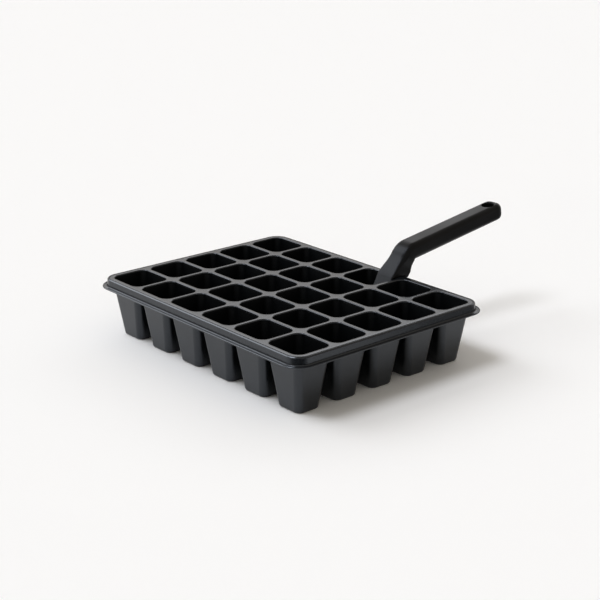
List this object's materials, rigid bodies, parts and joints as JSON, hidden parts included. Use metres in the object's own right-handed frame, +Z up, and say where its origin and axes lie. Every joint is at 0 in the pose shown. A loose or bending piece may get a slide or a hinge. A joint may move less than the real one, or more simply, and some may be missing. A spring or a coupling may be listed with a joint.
{
  "type": "cell seed tray",
  "caption": "Moulded seed tray: tapered open cells hang from a flat deck in a skirted rim with an upturned flange; a cranked planting tool stands in one cell.",
  "frame": {"origin": "on the floor at the middle of the whole outline, tray and tool together", "axes": "+X along the long side of the tray, +Y from the front side to the back rim that the tool's grip points over, +Z up"},
  "size_m": [0.2894, 0.3612, 0.1017],
  "materials": {
    "tray_deck": "satin black polypropylene",
    "tray_cell": "satin black polypropylene",
    "tool_plastic": "fine-grained black polypropylene"
  },
  "bodies": {
    "tray": {"rim_frame": "tray_deck", "deck_grid": "tray_deck", "cell_a1": "tray_cell", "cell_a2": "tray_cell", "cell_a3": "tray_cell", "cell_a4": "tray_cell", "cell_a5": "tray_cell", "cell_a6": "tray_cell", "cell_b1": "tray_cell", "cell_b2": "tray_cell", "cell_b3": "tray_cell", "cell_b4": "tray_cell", "cell_b5": "tray_cell", "cell_b6": "tray_cell", "cell_c1": "tray_cell", "cell_c2": "tray_cell", "cell_c3": "tray_cell", "cell_c4": "tray_cell", "cell_c5": "tray_cell", "cell_c6": "tray_cell", "cell_d1": "tray_cell", "cell_d2": "tray_cell", "cell_d3": "tray_cell", "cell_d4": "tray_cell", "cell_d5": "tray_cell", "cell_d6": "tray_cell", "cell_e1": "tray_cell", "cell_e2": "tray_cell", "cell_e3": "tray_cell", "cell_e4": "tray_cell", "cell_e5": "tray_cell", "cell_e6": "tray_cell"},
    "tool": {"planting_tool": "tool_plastic"}
  },
  "joints": [
    {"name": "tool_lift", "type": "slide", "parent": "tray", "child": "tool", "axis": [0, 0, 1], "range_m": [0, 0.06]}
  ]
}
